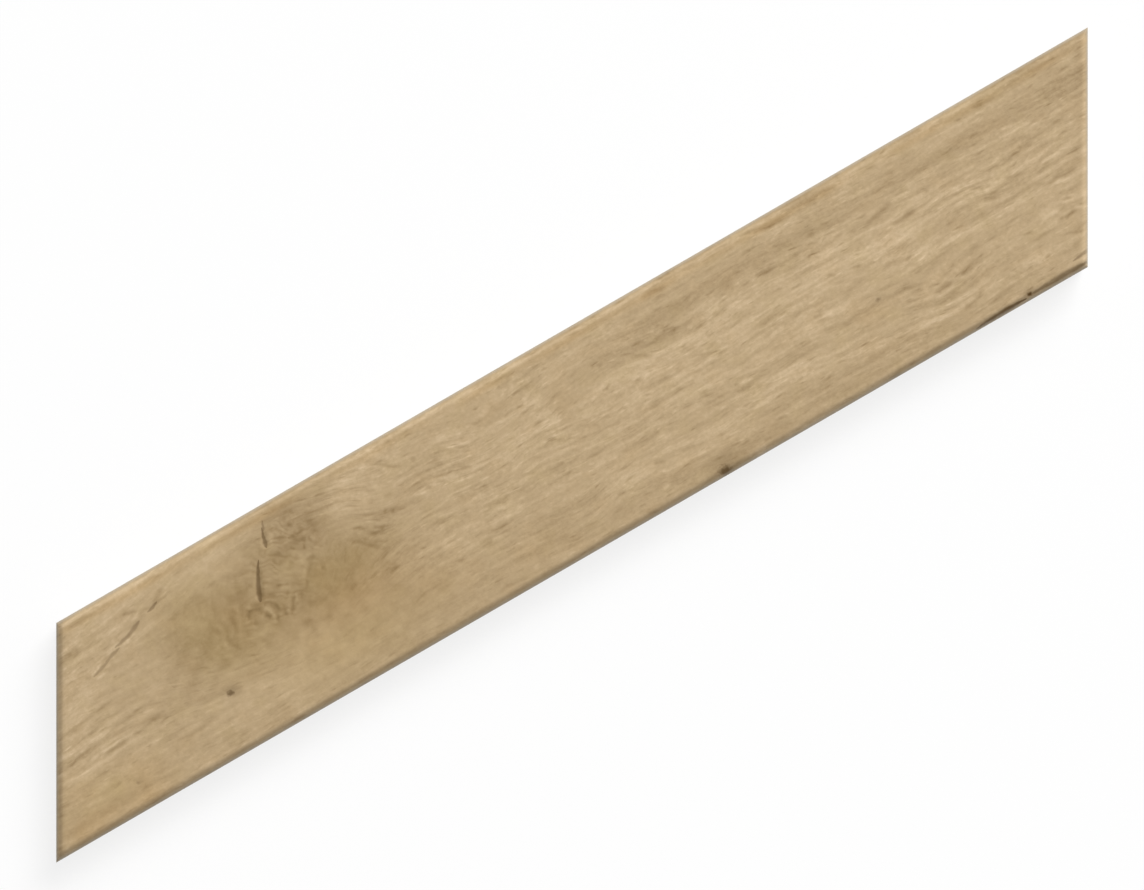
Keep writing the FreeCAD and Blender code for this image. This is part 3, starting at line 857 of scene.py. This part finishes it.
stations, loop_count = loop_z.shape
corner = np.arange(stations * loop_count).reshape(stations, loop_count)
after = np.roll(corner, -1, axis=1)
quads = np.stack([corner[:-1], after[:-1], after[1:], corner[1:]], axis=-1).reshape(-1, 4)
on_face = np.broadcast_to(np.arange(loop_count) < len(across) - 1, (stations - 1, loop_count)).ravel()
faces = quads.tolist() + [corner[0, ::-1].tolist(), corner[-1].tolist()]

slab_mesh = bpy.data.meshes.new("fired_tile")
slab_mesh.from_pydata(places.reshape(-1, 3), [], faces)
slab_mesh.polygons.foreach_set("use_smooth", np.append(on_face, [False, False]))
slab_mesh.polygons.foreach_set("material_index", np.append(~on_face, [True, True]).astype(np.int32))


def give(name, values):
    """Stores one number for each point of the face, or three on a last axis. Other points get 0."""
    room = np.zeros((stations, loop_count) + values.shape[2:], np.float32)
    room[:, :len(across)] = values
    kind, word = ("FLOAT_VECTOR", "vector") if values.ndim == 3 else ("FLOAT", "value")
    slab_mesh.attributes.new(name, kind, "POINT").data.foreach_set(word, room.ravel())


give("face_mm", np.stack([face_x, face_y, face_z], axis=-1))
give("grain_mm", np.stack([grain_s, grain_t, np.zeros_like(face_x)], axis=-1))
give("plain_grain", plain_grain)
give("edge_inset", edge_inset)
give("tone_and_edge_light", tone_and_edge_light)
give("painted_edge_shade", painted_edge_shade)
give("olive", olive)
give("russet_and_highlight", russet_and_highlight)
give("brushed", brushed)
slab_mesh.update()

fired_tile = bpy.data.objects.new("fired_tile", slab_mesh)
bpy.context.scene.collection.objects.link(fired_tile)
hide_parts("chevron_tile")
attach(fired_tile, "root")


# The printed glaze
# Pale oak is printed in warm browns on the face and fired under a thin matte glaze. Fibres, pores and flecks
# follow the grain, and the knot and its splits are darker. Painted shade darkens bands at the lower edge and
# the outer end, and painted highlights lighten the upper arris and the spine end.
# Along the arris the print thins to a greyer line.


def node(tree, kind, feeds=None, **settings):
    """Adds one shader node: settings are its properties, feeds gives each input a value or a socket."""
    made = tree.nodes.new(kind)
    for name, value in settings.items():
        setattr(made, name, value)
    for place, value in (feeds or {}).items():
        if isinstance(value, bpy.types.NodeSocket):
            tree.links.new(value, made.inputs[place])
        else:
            made.inputs[place].default_value = value
    return made


def maths(tree, operation, *terms, clamp=False):
    """One step of arithmetic on sockets and numbers."""
    made = node(tree, "ShaderNodeMath", dict(enumerate(terms)), operation=operation, use_clamp=clamp)
    return made.outputs[0]


def vectors(tree, operation, *terms):
    """One step of arithmetic on vectors."""
    return node(tree, "ShaderNodeVectorMath", dict(enumerate(terms)), operation=operation).outputs[0]


def carried(tree, value, low, high, out_low=0.0, out_high=1.0, kind="SMOOTHSTEP"):
    """Carries a value from one range to another, eased unless kind is LINEAR, and holds it at the ends."""
    feeds = {"Value": value, "From Min": low, "From Max": high, "To Min": out_low, "To Max": out_high}
    return node(tree, "ShaderNodeMapRange", feeds, interpolation_type=kind).outputs["Result"]


def mixed_colours(tree, share, first, second, blend_type="MIX"):
    """Blends two colours by a share from 0 to 1."""
    feeds = {0: share, 6: first, 7: second}
    return node(tree, "ShaderNodeMix", feeds, data_type="RGBA", blend_type=blend_type).outputs[2]


def stretched_noise(tree, place, length, width, detail, roughness=0.5):
    """Noise about 0, with cells of that length and width in the units of place."""
    scaled = vectors(tree, "DIVIDE", place, (length, width, 1.0))
    feeds = {"Vector": scaled, "Scale": 1.0, "Detail": detail, "Roughness": roughness}
    noise = node(tree, "ShaderNodeTexNoise", feeds, noise_dimensions="2D")
    return maths(tree, "SUBTRACT", noise.outputs[0], 0.5)


def total(tree, terms):
    """The sum of several values, each times its weight."""
    result = 0.0
    for value, weight in terms:
        result = maths(tree, "MULTIPLY_ADD", value, weight, result)
    return result


def srgb(red, green, blue):
    """A colour as seen on a screen, from 0 to 255, as the linear colour that a shader takes."""
    seen = np.array([red, green, blue]) / 255
    linear = np.where(seen <= 0.04045, seen / 12.92, ((seen + 0.055) / 1.055) ** 2.4)
    return (*linear.tolist(), 1.0)


def new_group(name, inputs, outputs):
    """An empty node group with named inputs and outputs. Returns it with its two end nodes."""
    group = bpy.data.node_groups.new(name, "ShaderNodeTree")
    for word, kind in inputs.items():
        group.interface.new_socket(word, in_out="INPUT", socket_type=kind)
    for word, kind in outputs.items():
        group.interface.new_socket(word, in_out="OUTPUT", socket_type=kind)
    return group, node(group, "NodeGroupInput").outputs, node(group, "NodeGroupOutput").inputs


# A dash reaches over a share of its cell and has a strength, each the least plus a random part of the spread.
DASH_REACH_LEAST = 0.15
DASH_REACH_SPREAD = 0.25
DASH_STRENGTH_LEAST = 0.3
DASH_STRENGTH_SPREAD = 0.7
# A split's line wanders by noise. It is dark out to the core's share of its half width and ends at the rim's.
SPLIT_WANDER = 0.32
WANDER_CELL = 1.1
SPLIT_CORE = 0.35
SPLIT_RIM = 1.35
SMALLEST_REACH = 0.0001


def dash_group():
    """Lens-shaped dashes along the grain: the distance to the nearest scattered point, in cells that are long
    with the grain and narrow across it, and a random reach for each point."""
    number = "NodeSocketFloat"
    inputs = {"Grain": "NodeSocketVector", "Length": number, "Width": number, "Share": number}
    group, given, result = new_group("grain_dashes", inputs, {"Mask": number})
    cell = node(group, "ShaderNodeCombineXYZ", {0: given["Length"], 1: given["Width"], 2: 1.0}).outputs[0]
    place = vectors(group, "DIVIDE", given["Grain"], cell)
    feeds = {"Vector": place, "Scale": 1.0}
    spots = node(group, "ShaderNodeTexVoronoi", feeds, voronoi_dimensions="2D").outputs
    chance = node(group, "ShaderNodeSeparateColor", {0: spots["Color"]}).outputs
    kept = maths(group, "LESS_THAN", chance[0], given["Share"])
    reach = maths(group, "MULTIPLY_ADD", chance[1], DASH_REACH_SPREAD, DASH_REACH_LEAST)
    nearness = maths(group, "SUBTRACT", 1.0, maths(group, "DIVIDE", spots["Distance"], reach), clamp=True)
    strength = maths(group, "MULTIPLY_ADD", chance[2], DASH_STRENGTH_SPREAD, DASH_STRENGTH_LEAST)
    mask = maths(group, "MULTIPLY", maths(group, "MULTIPLY", kept, strength), nearness)
    group.links.new(mask, result["Mask"])
    return group


def split_group():
    """A dark split: the distance from a bowed line between two ends, made ragged by noise, against a half
    width that tapers from its widest place to both ends."""
    number = "NodeSocketFloat"
    vector = "NodeSocketVector"
    inputs = {"Face": vector, "Start": vector, "Way": vector, "Length": number, "Bow": number,
              "Half Width": number, "Widest": number}
    group, given, result = new_group("split_line", inputs, {"Mask": number})
    off = vectors(group, "SUBTRACT", given["Face"], given["Start"])
    run = node(group, "ShaderNodeVectorMath", {0: off, 1: given["Way"]}, operation="DOT_PRODUCT")
    turned = vectors(group, "CROSS_PRODUCT", given["Way"], off)
    side = node(group, "ShaderNodeSeparateXYZ", {0: turned}).outputs["Z"]
    share = maths(group, "DIVIDE", run.outputs["Value"], given["Length"])
    left = maths(group, "SUBTRACT", 1.0, share)
    belly = maths(group, "MULTIPLY", maths(group, "MULTIPLY", share, left), 4.0)
    belly = maths(group, "MAXIMUM", belly, 0.0)
    bowed = maths(group, "MULTIPLY_ADD", belly, maths(group, "MULTIPLY", given["Bow"], -1.0), side)
    ragged = stretched_noise(group, given["Face"], WANDER_CELL, WANDER_CELL, 2)
    bowed = maths(group, "MULTIPLY_ADD", ragged, SPLIT_WANDER, bowed)
    growing = maths(group, "DIVIDE", share, given["Widest"])
    closing = maths(group, "DIVIDE", left, maths(group, "SUBTRACT", 1.0, given["Widest"]))
    taper = maths(group, "MINIMUM", growing, closing, clamp=True)
    reach = maths(group, "MULTIPLY", maths(group, "POWER", taper, SPLIT_TAPER), given["Half Width"])
    reach = maths(group, "MAXIMUM", reach, SMALLEST_REACH)
    away = maths(group, "DIVIDE", maths(group, "ABSOLUTE", bowed), reach)
    group.links.new(carried(group, away, SPLIT_CORE, SPLIT_RIM, 1.0, 0.0), result["Mask"])
    return group


def mottle_group():
    """Fine unevenness of a fired surface: round noise about 0, with cells of the given size."""
    inputs = {"Place": "NodeSocketVector", "Size": "NodeSocketFloat"}
    group, given, result = new_group("fired_mottle", inputs, {"Mottle": "NodeSocketFloat"})
    fineness = maths(group, "DIVIDE", 1.0, given["Size"])
    feeds = {"Vector": given["Place"], "Scale": fineness, "Detail": 3.0, "Roughness": 0.65}
    noise = node(group, "ShaderNodeTexNoise", feeds)
    group.links.new(maths(group, "SUBTRACT", noise.outputs[0], 0.5), result["Mottle"])
    return group


grain_dashes = dash_group()
split_line = split_group()
fired_mottle = mottle_group()

# Lightness of the print as it is seen, from 0 to 255, and the colour that goes with it.
PRINT_COLOURS = [
    (60, srgb(78, 58, 34)),
    (100, srgb(120, 97, 62)),
    (125, srgb(146, 122, 86)),
    (162, srgb(183, 159, 123)),
    (190, srgb(211, 187, 152)),
    (210, srgb(229, 208, 176)),
]
MEAN_LIGHTNESS = 160.5
SPLIT_COLOUR = srgb(76, 52, 12)
OLIVE_TINT = (0.985, 0.985, 0.88, 1.0)
RUSSET_AND_HIGHLIGHT_TINT = (1.0, 0.945, 0.84, 1.0)
ARRIS_COLOUR = srgb(172, 160, 140)
# How far the hue drifts to olive and to russet by itself.
OLIVE_DRIFT = 1.2
RUSSET_DRIFT = 0.8
# The thinned print of the arris: the distances from the edge between which it fades out, its strength, and
# how ragged its limit is.
WORN_FROM = 0.1
WORN_TO = 0.75
WORN_MOST = 0.7
WORN_RAGGED = 0.5
# A pin knot: its ragged rim, the limits of its spot and of its halo in radii, and the halo's strength.
PIN_RAGGED = 0.9
PIN_SPOT = (0.2, 1.2)
PIN_HALO = (0.6, 3.0)
HALO_STRENGTH = 0.22
# The grain of the print is weak and strong in patches: its limits, and the noise that takes it to them.
PATCHY_GRAIN = (0.75, 1.25)
PATCHY_NOISE = 0.2
# How far noise sways the fibres, in millimetres.
FIBRE_SWAY = 0.9
GLAZE_ROUGHNESS = 0.56
GLAZE_SPECULAR = 0.3
GLAZE_BUMP = 0.5
GLAZE_BUMP_DEPTH = 0.05


def new_material(name):
    """A material with nodes: the material, its tree and its Principled shader."""
    made = bpy.data.materials.new(name)
    made.use_nodes = True
    return made, made.node_tree, made.node_tree.nodes["Principled BSDF"]


def stored(tree, name, output="Fac"):
    """A field that the mesh holds."""
    return node(tree, "ShaderNodeAttribute", attribute_name=name).outputs[output]


def mottled(tree, place, size):
    """The fired surface's fine unevenness, with cells of that size."""
    feeds = {"Place": place, "Size": size}
    return node(tree, "ShaderNodeGroup", feeds, node_tree=fired_mottle).outputs["Mottle"]


def dash_layer(tree, place, length, width, share):
    """One layer of dashes along the grain."""
    feeds = {"Grain": place, "Length": length, "Width": width, "Share": share}
    return node(tree, "ShaderNodeGroup", feeds, node_tree=grain_dashes).outputs["Mask"]


def split_marks(tree, face):
    """The darkest of all the splits."""
    darkest = 0.0
    for start_x, start_y, end_x, end_y, bow, half_thick, _, widest, dark in SPLITS:
        length = math.hypot(end_x - start_x, end_y - start_y)
        way = ((end_x - start_x) / length, (end_y - start_y) / length, 0.0)
        feeds = {"Face": face, "Start": (start_x, start_y, 0.0), "Way": way, "Length": length, "Bow": bow,
                 "Half Width": half_thick, "Widest": widest}
        mask = node(tree, "ShaderNodeGroup", feeds, node_tree=split_line).outputs["Mask"]
        darkest = maths(tree, "MAXIMUM", darkest, maths(tree, "MULTIPLY", mask, dark))
    return darkest


def pin_marks(tree, face):
    """The darkest of all the pin knots, each a ragged dark spot in a soft halo."""
    darkest = 0.0
    flat = vectors(tree, "MULTIPLY", face, (1.0, 1.0, 0.0))
    ragged = stretched_noise(tree, face, 0.7, 0.7, 2)
    for (middle_x, middle_y), (reach_x, reach_y), _, dark in PINS:
        off = vectors(tree, "DIVIDE", vectors(tree, "SUBTRACT", flat, (middle_x, middle_y, 0.0)),
                      (reach_x, reach_y, 1.0))
        away = node(tree, "ShaderNodeVectorMath", {0: off}, operation="LENGTH").outputs["Value"]
        spot = carried(tree, maths(tree, "MULTIPLY_ADD", ragged, PIN_RAGGED, away), *PIN_SPOT, dark, 0.0)
        halo = carried(tree, away, *PIN_HALO, HALO_STRENGTH * dark, 0.0)
        darkest = maths(tree, "MAXIMUM", darkest, maths(tree, "MAXIMUM", spot, halo))
    return darkest


glaze, tree, shader = new_material("printed_glaze")
face = stored(tree, "face_mm", "Vector")
grain = stored(tree, "grain_mm", "Vector")
inset = stored(tree, "edge_inset")
patches = stretched_noise(tree, face, 13.0, 6.0, 1)
patchy = carried(tree, patches, -PATCHY_NOISE, PATCHY_NOISE, *PATCHY_GRAIN, kind="LINEAR")
plain = maths(tree, "MULTIPLY", stored(tree, "plain_grain"), patchy)

sway = maths(tree, "MULTIPLY", stretched_noise(tree, grain, 4.0, 2.0, 2), FIBRE_SWAY)
swayed = vectors(tree, "ADD", grain, node(tree, "ShaderNodeCombineXYZ", {1: sway}).outputs[0])
bands = stretched_noise(tree, grain, 60.0, 3.0, 3, 0.6)
strands = stretched_noise(tree, swayed, 16.0, 1.2, 2, 0.5)
fibre = stretched_noise(tree, swayed, 4.6, 1.25, 3, 0.6)
hair = stretched_noise(tree, swayed, 2.0, 0.4, 2, 0.6)
cloud = stretched_noise(tree, face, 7.0, 4.0, 3, 0.55)
mottle = mottled(tree, face, 0.75)
pores = dash_layer(tree, swayed, 5.0, 1.15, 0.5)
small_pores = dash_layer(tree, swayed, 2.6, 0.6, 0.6)
flecks = dash_layer(tree, swayed, 3.6, 0.9, 0.5)
hairlines = dash_layer(tree, swayed, 3.4, 0.34, 0.4)
glints = dash_layer(tree, swayed, 2.9, 0.30, 0.3)

grain_light = total(tree, [
    (bands, 30.0),
    (strands, 28.0),
    (fibre, 28.0),
    (hair, 6.0),
    (pores, -23.0),
    (small_pores, -10.0),
    (flecks, 15.0),
    (hairlines, -12.0),
    (glints, 5.0),
    (mottle, 18.0),
    (stored(tree, "brushed"), -4.0),
])
lightness = total(tree, [
    (maths(tree, "MULTIPLY", grain_light, plain), 1.0),
    (stored(tree, "tone_and_edge_light"), 1.0),
    (cloud, 16.0),
    (mottle, 12.0),
])

darkest = PRINT_COLOURS[0][0]
span = PRINT_COLOURS[-1][0] - darkest
depth = carried(tree, lightness, darkest - MEAN_LIGHTNESS, darkest + span - MEAN_LIGHTNESS, kind="LINEAR")
print_ramp = node(tree, "ShaderNodeValToRGB", {0: depth})
stops = print_ramp.color_ramp.elements
while len(stops) < len(PRINT_COLOURS):
    stops.new(1.0)
for stop, (light, colour) in zip(stops, PRINT_COLOURS):
    stop.position = (light - darkest) / span
    stop.color = colour

hue = stretched_noise(tree, face, 6.0, 5.0, 2)
greener = maths(tree, "MAXIMUM", hue, 0.0)
redder = maths(tree, "MINIMUM", hue, 0.0)
olive_share = maths(tree, "MULTIPLY_ADD", greener, OLIVE_DRIFT, stored(tree, "olive"), clamp=True)
# The russet share carries the russet stains and the painted highlight tint of the upper edge.
russet_and_highlight_share = maths(tree, "MULTIPLY_ADD", redder, -RUSSET_DRIFT, stored(tree, "russet_and_highlight"), clamp=True)
colour = mixed_colours(tree, olive_share, print_ramp.outputs["Color"], OLIVE_TINT, "MULTIPLY")
colour = mixed_colours(tree, russet_and_highlight_share, colour, RUSSET_AND_HIGHLIGHT_TINT, "MULTIPLY")
# Painted shade along the lower edge and the outer end darkens the colour.
colour = mixed_colours(tree, 1.0, colour, stored(tree, "painted_edge_shade"), "MULTIPLY")
marks = maths(tree, "MAXIMUM", split_marks(tree, face), pin_marks(tree, face))
colour = mixed_colours(tree, marks, colour, SPLIT_COLOUR)
ragged_inset = maths(tree, "MULTIPLY_ADD", mottle, WORN_RAGGED, inset)
worn = carried(tree, ragged_inset, WORN_FROM, WORN_TO, WORN_MOST, 0.0)
colour = mixed_colours(tree, worn, colour, ARRIS_COLOUR)
tree.links.new(colour, shader.inputs["Base Color"])

rough = total(tree, [(pores, 0.2), (mottle, 0.2), (marks, 0.2)])
tree.links.new(maths(tree, "ADD", rough, GLAZE_ROUGHNESS), shader.inputs["Roughness"])
shader.inputs["Specular IOR Level"].default_value = GLAZE_SPECULAR
height = total(tree, [(fibre, 0.5), (hair, 0.2), (pores, -0.8), (small_pores, -0.4), (mottle, 0.3)])
feeds = {"Height": height, "Strength": GLAZE_BUMP, "Distance": GLAZE_BUMP_DEPTH * MM}
bump = node(tree, "ShaderNodeBump", feeds)
tree.links.new(bump.outputs["Normal"], shader.inputs["Normal"])
slab_mesh.materials.append(glaze)


# The fired body
# The sides and the back are bare porcelain, warm grey with fine darker grains, slightly rough from the press.
# A pale slip lies under the print, and its edge shows as a thin uneven line down from the arris.
BODY_LIGHT = srgb(206, 195, 178)
BODY_DARK = srgb(192, 180, 162)
BODY_SPECK = srgb(132, 119, 103)
SLIP_PALE = srgb(226, 219, 205)
SLIP_REACH = 0.9
SLIP_SOFTNESS = 0.2
SLIP_WANDER = 1.6
SLIP_STRENGTH = 0.85
SPECK_STRENGTH = 0.6
# The limits of the noise between the dark and the light body, and between none of a speck and all of it.
BODY_NOISE = (-0.25, 0.25)
SPECK_NOISE = (0.13, 0.24)
BODY_ROUGHNESS = 0.75
BODY_UNEVENNESS = 0.3
BODY_SPECULAR = 0.3
BODY_BUMP = 0.5
BODY_BUMP_DEPTH = 0.1

body, tree, shader = new_material("fired_body")
feeds = {0: node(tree, "ShaderNodeTexCoord").outputs["Object"], "Scale": 1 / MM}
place = node(tree, "ShaderNodeVectorMath", feeds, operation="SCALE").outputs[0]
mottle = mottled(tree, place, 2.2)
fine = mottled(tree, place, 0.35)
colour = mixed_colours(tree, carried(tree, mottle, *BODY_NOISE), BODY_DARK, BODY_LIGHT)
colour = mixed_colours(tree, carried(tree, fine, *SPECK_NOISE, 0.0, SPECK_STRENGTH), colour, BODY_SPECK)
level = node(tree, "ShaderNodeSeparateXYZ", {0: place}).outputs["Z"]
uneven_level = maths(tree, "MULTIPLY_ADD", mottle, SLIP_WANDER, level)
slip_edge = thickness - ARRIS_RADIUS - SLIP_REACH
slip = carried(tree, uneven_level, slip_edge - SLIP_SOFTNESS, slip_edge + SLIP_SOFTNESS, 0.0, SLIP_STRENGTH)
colour = mixed_colours(tree, slip, colour, SLIP_PALE)
tree.links.new(colour, shader.inputs["Base Color"])
tree.links.new(maths(tree, "MULTIPLY_ADD", fine, BODY_UNEVENNESS, BODY_ROUGHNESS), shader.inputs["Roughness"])
shader.inputs["Specular IOR Level"].default_value = BODY_SPECULAR
feeds = {"Height": fine, "Strength": BODY_BUMP, "Distance": BODY_BUMP_DEPTH * MM}
bump = node(tree, "ShaderNodeBump", feeds)
tree.links.new(bump.outputs["Normal"], shader.inputs["Normal"])
slab_mesh.materials.append(body)


# The table it is photographed on
# A plain white sheet under the tile, in even studio light, with one soft lamp beyond the upper right corner.
# The camera sees part of the sheet's white as its own light, so the tile's shadow on it is faint.
FLOOR_HALF = 2.0
FLOOR_WHITE = (0.94, 0.94, 0.94, 1.0)
FLOOR_GLOW = 0.8
PAPER_ROUGHNESS = 0.9
PAPER_SPECULAR = 0.1
FILL_LIGHT = 0.36
KEY_POWER = 410.0
KEY_SIZE = 3.5
KEY_DISTANCE = 6.0
KEY_HEADING = math.radians(60)
KEY_RISE = math.radians(40)


def seen_directly(tree):
    """1 where the camera, a mirror or glass sees the surface, and 0 where it only lights other things."""
    path = node(tree, "ShaderNodeLightPath").outputs
    seen = maths(tree, "ADD", path["Is Camera Ray"], path["Is Glossy Ray"], clamp=True)
    return maths(tree, "ADD", seen, path["Is Transmission Ray"], clamp=True)


floor_mesh = bpy.data.meshes.new("floor")
floor_corners = np.array([[-1, -1, 0], [1, -1, 0], [1, 1, 0], [-1, 1, 0]]) * FLOOR_HALF
floor_mesh.from_pydata(floor_corners, [], [[0, 1, 2, 3]])
floor = bpy.data.objects.new("floor", floor_mesh)
bpy.context.scene.collection.objects.link(floor)
paper, tree, shader = new_material("white_paper")
shader.inputs["Base Color"].default_value = FLOOR_WHITE
shader.inputs["Roughness"].default_value = PAPER_ROUGHNESS
shader.inputs["Specular IOR Level"].default_value = PAPER_SPECULAR
glow = node(tree, "ShaderNodeEmission", {"Strength": 1.0}).outputs[0]
share = maths(tree, "MULTIPLY", seen_directly(tree), FLOOR_GLOW)
sheet = node(tree, "ShaderNodeMixShader", {0: share, 1: shader.outputs[0], 2: glow}).outputs[0]
tree.links.new(sheet, tree.nodes["Material Output"].inputs["Surface"])
floor_mesh.materials.append(paper)

world = bpy.data.worlds.new("studio")
world.use_nodes = True
bpy.context.scene.world = world
tree = world.node_tree
strength = maths(tree, "MULTIPLY_ADD", seen_directly(tree), 1.0 - FILL_LIGHT, FILL_LIGHT)
tree.links.new(strength, tree.nodes["Background"].inputs["Strength"])
tree.nodes["Background"].inputs["Color"].default_value = (1.0, 1.0, 1.0, 1.0)

key_lamp = bpy.data.lights.new("key_lamp", "AREA")
key_lamp.energy = KEY_POWER
key_lamp.size = KEY_SIZE
key = bpy.data.objects.new("key_lamp", key_lamp)
key.location = np.array([
    math.cos(KEY_HEADING) * math.cos(KEY_RISE),
    math.sin(KEY_HEADING) * math.cos(KEY_RISE),
    math.sin(KEY_RISE),
]) * KEY_DISTANCE
key.rotation_euler = (math.pi / 2 - KEY_RISE, 0.0, KEY_HEADING + math.pi / 2)
bpy.context.scene.collection.objects.link(key)


# The camera
# It hangs straight over the tile and looks down, with the spine of the chevron upright in the picture.
LENS = 135.0
SENSOR = 36.0
VIEW_WIDTH = 0.209

camera_data = bpy.data.cameras.new("overhead")
camera_data.lens = LENS
camera_data.sensor_width = SENSOR
camera = bpy.data.objects.new("overhead", camera_data)
camera.location = (0.0, 0.0, thickness * MM + VIEW_WIDTH * LENS / SENSOR)
bpy.context.scene.collection.objects.link(camera)
bpy.context.scene.camera = camera
bpy.context.scene.view_settings.view_transform = "Standard"
